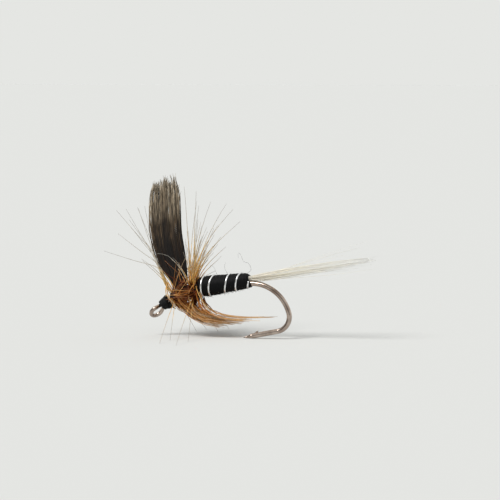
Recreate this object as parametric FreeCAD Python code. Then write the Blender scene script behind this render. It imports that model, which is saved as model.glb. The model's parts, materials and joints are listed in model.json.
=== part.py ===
import FreeCAD, Part
import math
import os

# A winged dry fly tied on a down-eyed hook: hook, thread underbody, tail fibres, ribbed body,
# two wing slips, a hackle wound behind and in front of the wing, and a thread head.
#
# Everything is laid out in the hook's own frame: x runs along the shank towards the bend,
# z points away from the gape, y points to the far side, and the origin is where the bend
# begins. The finished fly is then tilted and set down on its hook point and hackle feet.
# Lengths are in millimetres and angles in degrees.

Vector = FreeCAD.Vector
ACROSS = Vector(0, 1, 0)

# Hook
WIRE_R = 0.225              # radius of the hook wire
SHANK_LENGTH = 6.95         # from the start of the bend to the neck
SHANK_TILT = 11.7           # the shank rises this much towards the bend as the fly stands
UPPER_BEND_R = 3.40         # the bend opens with a large radius
UPPER_BEND_SWEEP = 85.0
LOWER_BEND_R = 1.30         # and closes with a small one
LOWER_BEND_SWEEP = 95.0
SPEAR_LENGTH = 2.30         # straight wire between the bend and the ground point
POINT_LENGTH = 0.85         # ground taper
POINT_R = 0.02              # radius of the very tip
BARB_FROM_POINT = 0.95
BARB_LENGTH = 0.50
BARB_HEIGHT = 0.12          # how far the cut barb lifts above the wire
BARB_WIDTH = 0.14
EYE_DROP = 32.0             # the neck turns down from the shank
EYE_TWIST = 27.0            # the ring is rolled a little about the neck
NECK_BEND_R = 0.80
NECK_TO_EYE = 1.67          # from the neck to the centre of the ring
EYE_RING_R = 0.52           # centreline radius of the ring
EYE_WIRE_R = 0.19           # the wire is drawn thinner at the eye
EYE_LAND_DEPTH = 0.04       # the inside of the ring is burnished this deep to a round bore
LIMB_START = 0.45           # the two limbs of the eye part here, measured from the neck
LIMB_R = 0.16

# Clearance between wound materials and what they are wound on
FIT = 0.015

# Thread
THREAD_LAYER = 0.065        # thickness of the thread sleeve on the shank
LASHING_WALL = 0.06         # least thickness of thread over what it binds

# Tail
TAIL_ROWS = 3
TAIL_COLUMNS = 4
TAIL_FIBRE_R = 0.040        # at the root
TAIL_TIP_R = 0.014
TAIL_SPACING = 0.105        # centre to centre where the fibres are bound down
TAIL_BUTT_GAP = 0.15        # the tail's trimmed butts meet the wing's under the body
TAIL_ROOT_X = 0.62          # the fibres leave the shank here
TAIL_LENGTH = 10.9          # from the root to the middle tip
TAIL_LENGTH_SPREAD = 0.6
TAIL_DROOP = 2.6            # mean slope of the tail below the shank line
TAIL_FAN_UP = 2.6           # half angle of the fan, up and down
TAIL_FAN_ACROSS = 4.2       # half angle of the fan, side to side
TAIL_LASHING_GAP = 0.03     # from the body's end and from where the fibres leave the shank

# Body: a floss cone on its own axis, because the bound butts lie on top of the shank
THORAX_LENGTH = 2.80        # from the neck to the body, for the hackle and the wing
BODY_REAR_X = 0.05
BODY_FRONT_LIFT = 0.47      # height of the body's axis above the shank
BODY_REAR_LIFT = 0.27
BODY_NOSE_R = 0.60
BODY_NOSE_LENGTH = 0.35
BODY_MAX_R = 0.85
BODY_REAR_R = 0.66
BODY_END_R = 0.52
BODY_END_LENGTH = 0.12
RIB_R = 0.07
RIB_TURNS = 4.5
RIB_END_MARGIN = 0.12

# Wing: two matched slips of quill feather, standing on edge side by side
SLIP_THICKNESS = 0.12
SLIP_GAP = 0.08             # between the two slips
WING_FROM_NECK = 1.00       # leading edge at the shank; the next five are measured from it
SLIP_BASE_WIDTH = 0.53
SLIP_SHOULDER_FRONT = -1.47
SLIP_SHOULDER_REAR = 1.15
SLIP_TOP_FRONT = -0.35
SLIP_TOP_REAR = 1.70
SLIP_SHOULDER_Z = 3.2       # full width is reached here
SLIP_TOP_Z = 10.35
SLIP_BOW = 0.04             # the leading edge bows forward by this
SLIP_BOW_DROP = 1.1         # and most of it below the middle
SLIP_NOTCHES = 3            # ragged end of the slip
SLIP_NOTCH_DEPTH = 0.45
SLIP_BUTT_UNDER_BODY = 0.80  # the trimmed butts run this far under the body
SLIP_BUTT_WIDTH = 0.22
SLIP_BUTT_HEIGHT = 0.28

# Brace wraps in front of the wing, and the lashing in front of the front hackle
BRACE_WIDTH = 0.13
BRACE_WALL = 0.13
HACKLE_LASHING_FROM_NECK = 0.15
HACKLE_LASHING_R = 0.42

# Hackle quills, wound as coils
REAR_QUILL_R = 0.075
REAR_QUILL_RUN = 0.68       # width of the coil along the shank
REAR_QUILL_TURNS = 3
FRONT_QUILL_R = 0.065
FRONT_QUILL_RUN = 0.27
FRONT_QUILL_TURNS = 1.75

# Hackle barbs: angles are measured round the shank from straight up
BARB_ROOT_R = 0.035
BARB_TIP_R = 0.012
FAN_COUNT = 14              # barbs of one hackle standing above and beside the shank
FAN_REACH = 104.0           # the fan runs to this angle on both sides
REAR_FAN_LENGTH = 7.6
FRONT_FAN_LENGTH = 7.2
LENGTH_RIPPLE = 0.5         # barbs alternate longer and shorter by this
REAR_FAN_LEAN = (12.0, 34.0)    # alternate barbs lean back by these
FRONT_FAN_LEAN = (-14.0, -42.0)  # and forward by these
FEET_ANGLES = (118.0, 133.0)    # barbs that the fly stands on, on both sides
SKIRT_COUNT = 8             # barbs swept back under the body, none of them above the spear
SKIRT_REACH = 32.0          # half angle of the skirt about straight down
REAR_SKIRT_LEAN = 56.0
FRONT_SKIRT_LEAN = 50.0
SKIRT_LENGTH = 7.0
SKIRT_CLEAR = 0.35          # swept barbs end at least this far above the surface
HUB_SHIFT = 0.20            # upper barbs start this much further from the wing

# Head
HEAD_FROM = 0.10            # along the neck
HEAD_REAR_R = 0.64
HEAD_STEP = 0.04            # the head stands this proud of the whip finish
WHIP_WIDTH = 0.15
TAG_STRANDS = 3
TAG_R = 0.035
TAG_LENGTH = 0.45
TAG_FROM_NECK = 0.26
TAG_FAN = 16.0

# Worked out from the above: what is bound along the top of the shank
NECK = Vector(-SHANK_LENGTH, 0, 0)
SLEEVE_R = WIRE_R + THREAD_LAYER
BUTT_FLOOR = SLEEVE_R + FIT             # bound butts lie on the sleeve
TAIL_BED_TOP = BUTT_FLOOR + 2 * TAIL_FIBRE_R + (TAIL_ROWS - 1) * TAIL_SPACING
TAIL_BED_HALF = TAIL_FIBRE_R + (TAIL_COLUMNS - 1) * TAIL_SPACING / 2
SLIP_BED_TOP = BUTT_FLOOR + SLIP_BUTT_HEIGHT
SLIP_BED_HALF = SLIP_GAP / 2 + SLIP_BUTT_WIDTH
TILT = FreeCAD.Rotation(ACROSS, -SHANK_TILT)


def cover(top, half_width):
    """Lift and radius of a round band that covers the sleeve and a bed of butts on it."""
    lift = (top - SLEEVE_R) / 2
    return lift, max(math.hypot(half_width, top - lift), SLEEVE_R + lift) + FIT + LASHING_WALL


def slip_edge(base, shoulder, height):
    """Where a wing slip's straight lower edge stands at a height above the shank."""
    return base + (shoulder - base) * (height - BUTT_FLOOR) / (SLIP_SHOULDER_Z - BUTT_FLOOR)


# The order of things along the shank, from the body forwards
BODY_FRONT_X = THORAX_LENGTH - SHANK_LENGTH
SLIP_BUTT_END_X = BODY_FRONT_X + SLIP_BUTT_UNDER_BODY
TAIL_BUTT_X = SLIP_BUTT_END_X + TAIL_BUTT_GAP
SLIP_BASE_FRONT_X = WING_FROM_NECK - SHANK_LENGTH
SLIP_BASE_REAR_X = SLIP_BASE_FRONT_X + SLIP_BASE_WIDTH
SLIP_SHOULDER_FRONT_X = SLIP_BASE_FRONT_X + SLIP_SHOULDER_FRONT
SLIP_SHOULDER_REAR_X = SLIP_BASE_FRONT_X + SLIP_SHOULDER_REAR
WING_LASHING_LIFT, WING_LASHING_R = cover(SLIP_BED_TOP, SLIP_BED_HALF)
WING_LASHING_TOP = WING_LASHING_LIFT + WING_LASHING_R
WING_LASHING_FRONT = slip_edge(SLIP_BASE_REAR_X, SLIP_SHOULDER_REAR_X, WING_LASHING_TOP) + FIT
BODY_SLOPE = (BODY_FRONT_LIFT - BODY_REAR_LIFT) / (BODY_REAR_X - BODY_FRONT_X)
NOSE_OVERHANG = BODY_NOSE_R * BODY_SLOPE    # the body's front face leans over the thorax
WING_LASHING_X = (WING_LASHING_FRONT, BODY_FRONT_X - NOSE_OVERHANG - FIT)
REAR_QUILL_REAR = WING_LASHING_X[1] - REAR_QUILL_R
REAR_QUILL_X = (REAR_QUILL_REAR - REAR_QUILL_RUN, REAR_QUILL_REAR)
BRACE_R = SLEEVE_R + BRACE_WALL
BRACE_REAR = slip_edge(SLIP_BASE_FRONT_X, SLIP_SHOULDER_FRONT_X, BRACE_R) - FIT
BRACE_X = (BRACE_REAR - BRACE_WIDTH, BRACE_REAR)
FRONT_QUILL_REAR = BRACE_X[0] - FIT - FRONT_QUILL_R
FRONT_QUILL_X = (FRONT_QUILL_REAR - FRONT_QUILL_RUN, FRONT_QUILL_REAR)
UNDERBODY_FRONT = FRONT_QUILL_X[0] - FRONT_QUILL_R - FIT
HACKLE_LASHING_X = (HACKLE_LASHING_FROM_NECK - SHANK_LENGTH, UNDERBODY_FRONT - FIT)
TAIL_LASHING_X = (BODY_REAR_X + TAIL_LASHING_GAP, TAIL_ROOT_X - 2 * TAIL_LASHING_GAP)


def unit(angle):
    """Direction in the hook's plane, turned down from the shank line by an angle."""
    turn = math.radians(angle)
    return Vector(math.cos(turn), 0, -math.sin(turn))


def rod(start, end, radius, end_radius=None):
    """Straight round rod, tapered when it is given a second radius."""
    run = end - start
    if end_radius is None or end_radius == radius:
        return Part.makeCylinder(radius, run.Length, start, run)
    return Part.makeCone(radius, end_radius, run.Length, start, run)


def bend_arc(start, heading, radius, sweep):
    """Arc in the hook's plane that turns towards the gape; returns its edge and its end."""
    centre = start + unit(heading + 90) * radius
    middle = centre - unit(heading + 90 + sweep / 2) * radius
    end = centre - unit(heading + 90 + sweep) * radius
    return Part.Arc(start, middle, end).toShape(), end


# Directions of the eye: along the neck, and square to the ring's plane
NECK_RUN = unit(-EYE_DROP) * -1
RING_RISE = Vector(NECK_RUN.z, 0, -NECK_RUN.x)
ROLL = math.radians(EYE_TWIST)
RING_AXIS = RING_RISE * math.cos(ROLL) + ACROSS * math.sin(ROLL)
RING_SIDE = ACROSS * math.cos(ROLL) - RING_RISE * math.sin(ROLL)
EYE_CENTRE = NECK + NECK_RUN * NECK_TO_EYE
EYE_BORE_R = EYE_RING_R - EYE_WIRE_R + EYE_LAND_DEPTH

# The head fills the neck up to the ring, and its front covers the limbs of the eye
LIMB_SPLAY = math.asin(EYE_RING_R / (NECK_TO_EYE - LIMB_START))
WHIP_TO = NECK_TO_EYE - EYE_RING_R - EYE_WIRE_R - 2 * FIT
WHIP_FROM = WHIP_TO - WHIP_WIDTH
LIMB_REACH = (WHIP_TO - LIMB_START) * math.tan(LIMB_SPLAY) + LIMB_R / math.cos(LIMB_SPLAY)
WHIP_R = LIMB_REACH + FIT + THREAD_LAYER
HEAD_TO = WHIP_FROM - FIT
HEAD_FRONT_R = WHIP_R + HEAD_STEP


def eye_limbs(extra=0.0):
    """The two limbs that run from the neck out to the ring."""
    start = NECK + NECK_RUN * LIMB_START
    meet = math.pi / 2 - LIMB_SPLAY
    limbs = []
    for side in (-1, 1):
        offset = NECK_RUN * -math.cos(meet) + RING_SIDE * (side * math.sin(meet))
        limbs.append(rod(start, EYE_CENTRE + offset * EYE_RING_R, LIMB_R + extra))
    return limbs


def make_hook():
    """One length of wire: ring eye, neck, shank, two-radius bend, spear and point."""
    ease = NECK_BEND_R * math.tan(math.radians(EYE_DROP / 2))
    fork = NECK + NECK_RUN * (LIMB_START + LIMB_R)
    elbow_start = NECK + NECK_RUN * ease
    elbow, elbow_end = bend_arc(elbow_start, -EYE_DROP, NECK_BEND_R, EYE_DROP)
    upper, upper_end = bend_arc(Vector(0, 0, 0), 0, UPPER_BEND_R, UPPER_BEND_SWEEP)
    lower, lower_end = bend_arc(upper_end, UPPER_BEND_SWEEP, LOWER_BEND_R, LOWER_BEND_SWEEP)
    heading = UPPER_BEND_SWEEP + LOWER_BEND_SWEEP
    spear_end = lower_end + unit(heading) * SPEAR_LENGTH
    path = Part.Wire([
        Part.LineSegment(fork, elbow_start).toShape(),
        elbow,
        Part.LineSegment(elbow_end, Vector(0, 0, 0)).toShape(),
        upper,
        lower,
        Part.LineSegment(lower_end, spear_end).toShape(),
    ])
    section = Part.Wire(Part.makeCircle(WIRE_R, fork, NECK_RUN * -1))
    wire = path.makePipeShell([section], True, False)
    tip = spear_end + unit(heading) * POINT_LENGTH
    point = rod(spear_end, tip, WIRE_R, POINT_R)
    ring = Part.makeTorus(EYE_RING_R, EYE_WIRE_R, EYE_CENTRE, RING_AXIS)
    hook = wire.fuse([point, ring, make_cut_barb(tip, heading)] + eye_limbs())
    bore_half = EYE_RING_R
    bore = Part.makeCylinder(EYE_BORE_R, 2 * bore_half, EYE_CENTRE - RING_AXIS * bore_half, RING_AXIS)
    return hook.cut(bore), tip, heading


def make_cut_barb(tip, heading):
    """Small wedge on the gape side of the spear, open towards the bend."""
    back = unit(heading) * -1
    inward = unit(heading + 90)
    low = tip + back * BARB_FROM_POINT + inward * (WIRE_R / 2)
    peak = low + back * BARB_LENGTH + inward * (WIRE_R / 2 + BARB_HEIGHT)
    heel = low + back * (BARB_LENGTH * 1.1)
    face = Part.Face(Part.makePolygon([low, peak, heel, low]))
    face.translate(ACROSS * (-BARB_WIDTH / 2))
    return face.extrude(ACROSS * BARB_WIDTH)


def bed(front, rear, half_width, top):
    """Room for the shank's sleeve and the butts bound on top of it."""
    sleeve = Part.makeCylinder(SLEEVE_R + FIT, rear - front, Vector(front, 0, 0), Vector(1, 0, 0))
    box = Part.makeBox(rear - front, 2 * (half_width + FIT), top + FIT, Vector(front, -half_width - FIT, 0))
    return sleeve.fuse(box)


def band(span, radius, lift, opening):
    """Flat-wound thread band round the shank, cut clear of what it binds."""
    front, rear = span
    outer = Part.makeCylinder(radius, rear - front, Vector(front, 0, lift), Vector(1, 0, 0))
    return outer.cut(opening)


def make_underbody():
    sleeve = Part.makeCylinder(SLEEVE_R, -UNDERBODY_FRONT, Vector(UNDERBODY_FRONT, 0, 0), Vector(1, 0, 0))
    core = Part.makeCylinder(WIRE_R + FIT, -UNDERBODY_FRONT, Vector(UNDERBODY_FRONT, 0, 0), Vector(1, 0, 0))
    return sleeve.cut(core)


def make_tail():
    """Stiff cock fibres: a bound butt, then a taper that fans out and droops a little."""
    fibres = []
    for row in range(TAIL_ROWS):
        for column in range(TAIL_COLUMNS):
            up = row - (TAIL_ROWS - 1) / 2
            side = column - (TAIL_COLUMNS - 1) / 2
            y = side * TAIL_SPACING
            z = BUTT_FLOOR + TAIL_FIBRE_R + row * TAIL_SPACING
            root = Vector(TAIL_ROOT_X, y, z)
            slope = TAIL_DROOP - up * TAIL_FAN_UP / ((TAIL_ROWS - 1) / 2) + side * 0.35
            swing = side * TAIL_FAN_ACROSS / ((TAIL_COLUMNS - 1) / 2) * (1 - 0.25 * abs(up))
            run = FreeCAD.Rotation(Vector(0, 0, 1), swing).multVec(unit(slope))
            length = TAIL_LENGTH + TAIL_LENGTH_SPREAD * math.cos(2.4 * len(fibres))
            rings = [
                (Vector(TAIL_BUTT_X, y, z), Vector(1, 0, 0), TAIL_FIBRE_R),
                (root, Vector(1, 0, 0) + run, TAIL_FIBRE_R),
                (root + run * length, run, TAIL_TIP_R),
            ]
            sections = [Part.Wire(Part.makeCircle(r, at, along)) for at, along, r in rings]
            fibres.append(Part.makeLoft(sections, True, True))
    return fibres


def make_tail_lashing():
    front, rear = TAIL_LASHING_X
    drop = UPPER_BEND_R - math.sqrt(UPPER_BEND_R ** 2 - rear ** 2)
    wire = Part.makeCylinder(WIRE_R + FIT + drop, rear - front, Vector(front, 0, 0), Vector(1, 0, 0))
    butts = Part.makeBox(rear - front, 2 * (TAIL_BED_HALF + FIT), TAIL_BED_TOP + FIT,
                         Vector(front, -TAIL_BED_HALF - FIT, 0))
    lift, radius = cover(TAIL_BED_TOP, TAIL_BED_HALF)
    return band(TAIL_LASHING_X, radius, lift, wire.fuse(butts))


BODY_START = Vector(BODY_FRONT_X, 0, BODY_FRONT_LIFT)
BODY_RUN = Vector(BODY_REAR_X, 0, BODY_REAR_LIFT) - BODY_START
BODY_LENGTH = BODY_RUN.Length
BODY_AXIS = Vector(BODY_RUN).normalize()
BODY_PLACE = FreeCAD.Placement(BODY_START, FreeCAD.Rotation(Vector(0, 0, 1), BODY_AXIS))


def make_body():
    """Floss body: a cone with a short nose and a rounded-down end, over the butts."""
    outline = [
        (0, 0),
        (BODY_NOSE_R, 0),
        (BODY_MAX_R, BODY_NOSE_LENGTH),
        (BODY_REAR_R, BODY_LENGTH - BODY_END_LENGTH),
        (BODY_END_R, BODY_LENGTH),
        (0, BODY_LENGTH),
        (0, 0),
    ]
    profile = Part.Face(Part.makePolygon([Vector(r, 0, s) for r, s in outline]))
    body = profile.revolve(Vector(0, 0, 0), Vector(0, 0, 1), 360)
    body.Placement = BODY_PLACE
    half = max(TAIL_BED_HALF, SLIP_BED_HALF)
    top = max(TAIL_BED_TOP, SLIP_BED_TOP)
    return body.cut(bed(BODY_FRONT_X - 1, BODY_REAR_X + 1, half, top))


def coil(front_s, rear_s, front_r, rear_r, turns, radius, placement):
    """Wire wound from rear to front on a cylinder or a cone along the placement's z."""
    height = rear_s - front_s
    taper = math.degrees(math.atan2(front_r - rear_r, height))
    helix = Part.makeHelix(height / turns, height, rear_r, taper)
    helix.rotate(Vector(0, 0, 0), Vector(1, 0, 0), 180)
    helix.translate(Vector(0, 0, rear_s))
    whole = helix.Edges[0]
    first = whole.FirstParameter
    half_turns = math.ceil(2 * turns)
    step = (whole.LastParameter - first) / half_turns
    path = [Part.Edge(whole.Curve, first + step * i, first + step * (i + 1)) for i in range(half_turns)]
    section = Part.Wire(Part.makeCircle(radius, path[0].valueAt(first), path[0].tangentAt(first)))
    wound = Part.Wire(path).makePipeShell([section], True, True)
    wound.Placement = placement.multiply(wound.Placement)
    return wound


def make_rib():
    """Round wire wound over the body at an even pitch."""
    stand_off = (RIB_R + FIT) / math.cos(math.atan2(BODY_MAX_R - BODY_REAR_R, BODY_LENGTH))
    front = BODY_NOSE_LENGTH + RIB_END_MARGIN
    rear = BODY_LENGTH - BODY_END_LENGTH - RIB_END_MARGIN
    slope = (BODY_REAR_R - BODY_MAX_R) / (BODY_LENGTH - BODY_END_LENGTH - BODY_NOSE_LENGTH)
    front_r = BODY_MAX_R + slope * RIB_END_MARGIN + stand_off
    rear_r = BODY_REAR_R - slope * RIB_END_MARGIN + stand_off
    return coil(front, rear, front_r, rear_r, RIB_TURNS, RIB_R, BODY_PLACE)


def make_wing_slip(side):
    """One slip: an upright ragged-topped blade with its trimmed butt bound along the shank."""
    top_front_x = SLIP_BASE_FRONT_X + SLIP_TOP_FRONT
    step = (SLIP_TOP_REAR - SLIP_TOP_FRONT) / SLIP_NOTCHES
    base_front = Vector(SLIP_BASE_FRONT_X, 0, BUTT_FLOOR)
    base_rear = Vector(SLIP_BASE_REAR_X, 0, BUTT_FLOOR)
    shoulder_front = Vector(SLIP_SHOULDER_FRONT_X, 0, SLIP_SHOULDER_Z)
    shoulder_rear = Vector(SLIP_SHOULDER_REAR_X, 0, SLIP_SHOULDER_Z)
    ragged = [Vector(top_front_x, 0, SLIP_TOP_Z)]
    for notch in range(SLIP_NOTCHES):
        x = top_front_x + step * notch
        ragged.append(Vector(x + step * 0.75, 0, SLIP_TOP_Z - SLIP_NOTCH_DEPTH))
        ragged.append(Vector(x + step, 0, SLIP_TOP_Z))
    edges = [Part.LineSegment(a, b).toShape() for a, b in zip(ragged, ragged[1:])]
    bow_z = (SLIP_SHOULDER_Z + SLIP_TOP_Z) / 2 - SLIP_BOW_DROP
    bow = Vector(SLIP_SHOULDER_FRONT_X - SLIP_BOW, 0, bow_z)
    edges += [
        Part.LineSegment(ragged[-1], shoulder_rear).toShape(),
        Part.LineSegment(shoulder_rear, base_rear).toShape(),
        Part.LineSegment(base_rear, base_front).toShape(),
        Part.LineSegment(base_front, shoulder_front).toShape(),
        Part.Arc(shoulder_front, bow, ragged[0]).toShape(),
    ]
    blade = Part.Face(Part.Wire(edges)).extrude(ACROSS * SLIP_THICKNESS)
    blade.translate(ACROSS * (SLIP_GAP / 2))
    butt = Part.makeBox(SLIP_BUTT_END_X - SLIP_BASE_FRONT_X, SLIP_BUTT_WIDTH, SLIP_BUTT_HEIGHT,
                        Vector(SLIP_BASE_FRONT_X, SLIP_GAP / 2, BUTT_FLOOR))
    slip = blade.fuse(butt).removeSplitter()
    if side < 0:
        slip = slip.mirror(Vector(0, 0, 0), ACROSS)
    return slip


def along_shank(x, lift):
    """Placement whose z runs along the shank, starting at x."""
    return FreeCAD.Placement(Vector(x, 0, lift), FreeCAD.Rotation(Vector(0, 0, 1), Vector(1, 0, 0)))


REAR_COIL_R = WING_LASHING_R + FIT + REAR_QUILL_R
FRONT_COIL_R = SLEEVE_R + FIT + FRONT_QUILL_R


def make_quill(span, coil_radius, lift, turns, radius):
    """Feather stem wound round the shank."""
    front, rear = span
    place = along_shank(front, lift)
    return coil(0, rear - front, coil_radius, coil_radius, turns, radius, place)


def barb_run(angle, lean):
    """Direction of a barb that stands at an angle round the shank and leans along it."""
    turn = math.radians(angle)
    tip_over = math.radians(lean)
    radial = Vector(0, math.sin(turn), math.cos(turn))
    return radial, radial * math.cos(tip_over) + Vector(math.sin(tip_over), 0, 0)


def hub_point(hub, angle):
    """Where a barb starts: just off the quill, further from the wing above the shank."""
    x, lift, start_r, shift = hub
    radial, _ = barb_run(angle, 0)
    return Vector(x + shift * math.cos(math.radians(angle)), 0, lift) + radial * start_r


def steps_out(i, count):
    """How many barbs out from the middle of a row of barbs the one at i stands."""
    return int(abs(i - (count - 1) / 2))


def make_fan(hub, length, leans):
    """Barbs that stand out above and beside the shank, alternately leaning less and more."""
    barbs = []
    for i in range(FAN_COUNT):
        angle = -FAN_REACH + 2 * FAN_REACH * i / (FAN_COUNT - 1)
        out = steps_out(i, FAN_COUNT)
        _, run = barb_run(angle, leans[out % 2])
        start = hub_point(hub, angle)
        reach = length + LENGTH_RIPPLE * math.cos(2.1 * out)
        barbs.append(rod(start, start + run * reach, BARB_ROOT_R, BARB_TIP_R))
    return barbs


def reach_down(start, run, level):
    """Length of a barb that ends where it comes down to a level in the standing fly."""
    fall = -TILT.multVec(run).z
    if fall <= 0:
        return math.inf
    return (TILT.multVec(start).z - level - BARB_TIP_R) / fall


def make_skirt(hub, lean, floor):
    """Barbs swept back below the body."""
    barbs = []
    for i in range(SKIRT_COUNT):
        angle = 180 - SKIRT_REACH + 2 * SKIRT_REACH * i / (SKIRT_COUNT - 1)
        _, run = barb_run(angle, lean)
        start = hub_point(hub, angle)
        reach = SKIRT_LENGTH - LENGTH_RIPPLE * math.sin(1.7 * steps_out(i, SKIRT_COUNT))
        reach = min(reach, reach_down(start, run, floor + SKIRT_CLEAR))
        barbs.append(rod(start, start + run * reach, BARB_ROOT_R, BARB_TIP_R))
    return barbs


def make_feet(hub, floor):
    """Barbs that reach down to the surface on both sides, so that the fly stands."""
    barbs = []
    for side in (-1, 1):
        for angle in FEET_ANGLES:
            _, run = barb_run(side * angle, 0)
            start = hub_point(hub, side * angle)
            reach = reach_down(start, run, floor)
            barbs.append(rod(start, start + run * reach, BARB_ROOT_R, BARB_TIP_R))
    return barbs


REAR_HUB_R = REAR_COIL_R + REAR_QUILL_R + BARB_ROOT_R + FIT
FRONT_HUB_R = FRONT_COIL_R + FRONT_QUILL_R + BARB_ROOT_R + FIT
REAR_HUB = (sum(REAR_QUILL_X) / 2, WING_LASHING_LIFT, REAR_HUB_R, HUB_SHIFT)
FRONT_HUB = (sum(FRONT_QUILL_X) / 2, 0.0, FRONT_HUB_R, -HUB_SHIFT / 2)


def neck_band(start, end, start_r, end_r):
    """Thread wound on the neck, cut clear of the neck wire and of the eye's limbs."""
    outer = rod(NECK + NECK_RUN * start, NECK + NECK_RUN * end, start_r, end_r)
    wire = rod(NECK, NECK + NECK_RUN * (LIMB_START + LIMB_R), WIRE_R + FIT)
    elbow = Part.makeSphere(WIRE_R + FIT, NECK)
    return outer.cut([wire, elbow] + eye_limbs(FIT))


def make_thread_tag():
    """Trimmed ends that stick out below the back of the head."""
    strands = []
    for i in range(TAG_STRANDS):
        fan = (i - (TAG_STRANDS - 1) / 2)
        outward = RING_RISE * -1
        start = NECK + NECK_RUN * TAG_FROM_NECK + outward * (HEAD_REAR_R + FIT)
        start += ACROSS * (fan * TAG_R * 4)
        run = FreeCAD.Rotation(Vector(1, 0, 0), fan * TAG_FAN).multVec(outward)
        length = TAG_LENGTH * (1 - 0.2 * abs(fan))
        strands.append(rod(start, start + run * length, TAG_R))
    return strands


hook, point_tip, spear_heading = make_hook()
tilted_hook = hook.copy()
tilted_hook.Placement = FreeCAD.Placement(Vector(0, 0, 0), TILT)
floor_z = tilted_hook.optimalBoundingBox(False, False).ZMin

slip_bed = bed(WING_LASHING_X[0] - 1, WING_LASHING_X[1] + 1, SLIP_BED_HALF, SLIP_BED_TOP)
sleeve_bed = Part.makeCylinder(SLEEVE_R + FIT, SHANK_LENGTH, NECK, Vector(1, 0, 0))
bare_wire = Part.makeCylinder(WIRE_R + 2 * FIT, SHANK_LENGTH, NECK, Vector(1, 0, 0))

nodes = {
    "hook": [hook],
    "thread_underbody": [make_underbody()],
    "tail_lashing": [make_tail_lashing()],
    "floss_body": [make_body()],
    "rib_wire": [make_rib()],
    "near_wing_slip": [make_wing_slip(-1)],
    "far_wing_slip": [make_wing_slip(1)],
    "wing_lashing": [band(WING_LASHING_X, WING_LASHING_R, WING_LASHING_LIFT, slip_bed)],
    "wing_brace_wraps": [band(BRACE_X, BRACE_R, 0, sleeve_bed)],
    "rear_hackle_quill": [make_quill(REAR_QUILL_X, REAR_COIL_R, WING_LASHING_LIFT,
                                     REAR_QUILL_TURNS, REAR_QUILL_R)],
    "rear_hackle_fan": make_fan(REAR_HUB, REAR_FAN_LENGTH, REAR_FAN_LEAN),
    "rear_hackle_skirt": make_skirt(REAR_HUB, REAR_SKIRT_LEAN, floor_z),
    "rear_hackle_feet": make_feet(REAR_HUB, floor_z),
    "front_hackle_quill": [make_quill(FRONT_QUILL_X, FRONT_COIL_R, 0,
                                      FRONT_QUILL_TURNS, FRONT_QUILL_R)],
    "front_hackle_fan": make_fan(FRONT_HUB, FRONT_FAN_LENGTH, FRONT_FAN_LEAN),
    "front_hackle_skirt": make_skirt(FRONT_HUB, FRONT_SKIRT_LEAN, floor_z),
    "front_hackle_feet": make_feet(FRONT_HUB, floor_z),
    "hackle_lashing": [band(HACKLE_LASHING_X, HACKLE_LASHING_R, 0, bare_wire)],
    "head_wraps": [neck_band(HEAD_FROM, HEAD_TO, HEAD_REAR_R, HEAD_FRONT_R)],
    "whip_finish": [neck_band(WHIP_FROM, WHIP_TO, WHIP_R, WHIP_R)],
    "thread_tag": make_thread_tag(),
}
for number, fibre in enumerate(make_tail(), start=1):
    nodes["tail_fibre_%02d" % number] = [fibre]

# Tilt the fly as it stands, then put the middle of its footprint at the origin
everything = Part.makeCompound([solid for solids in nodes.values() for solid in solids])
everything.Placement = FreeCAD.Placement(Vector(0, 0, 0), TILT)
extent = everything.optimalBoundingBox(False, False)
SHIFT = Vector(-(extent.XMin + extent.XMax) / 2, -(extent.YMin + extent.YMax) / 2, -extent.ZMin)
STAND = FreeCAD.Placement(SHIFT, TILT)


def report_place(name, point, direction):
    at = STAND.multVec(point)
    run = TILT.multVec(direction)
    print("%-12s at (%.4f, %.4f, %.4f) mm, axis (%.5f, %.5f, %.5f)"
          % (name, at.x, at.y, at.z, run.x, run.y, run.z))


os.makedirs("parts", exist_ok=True)
for name, solids in nodes.items():
    shape = Part.makeCompound(solids) if len(solids) > 1 else solids[0]
    shape.Placement = STAND.multiply(shape.Placement)
    shape.exportStep("parts/%s.step" % name)
    sound = all(solid.isValid() for solid in solids)
    print("%-20s solids %2d  volume %.5f mm3  sound %s" % (name, len(shape.Solids), shape.Volume, sound))

print("extent %.3f x %.3f x %.3f mm" % (extent.XLength, extent.YLength, extent.ZLength))
print("origin of the hook frame at (%.4f, %.4f, %.4f) mm" % tuple(STAND.multVec(Vector(0, 0, 0))))
report_place("eye bore", EYE_CENTRE, RING_AXIS * -1)
report_place("hook point", point_tip, unit(spear_heading))
report_place("bend", bend_arc(Vector(0, 0, 0), 0, UPPER_BEND_R, UPPER_BEND_SWEEP)[1], Vector(1, 0, 0))
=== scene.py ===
import json
import math
import random

import bmesh
import bpy
from mathutils import Matrix, Vector, geometry, noise


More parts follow.
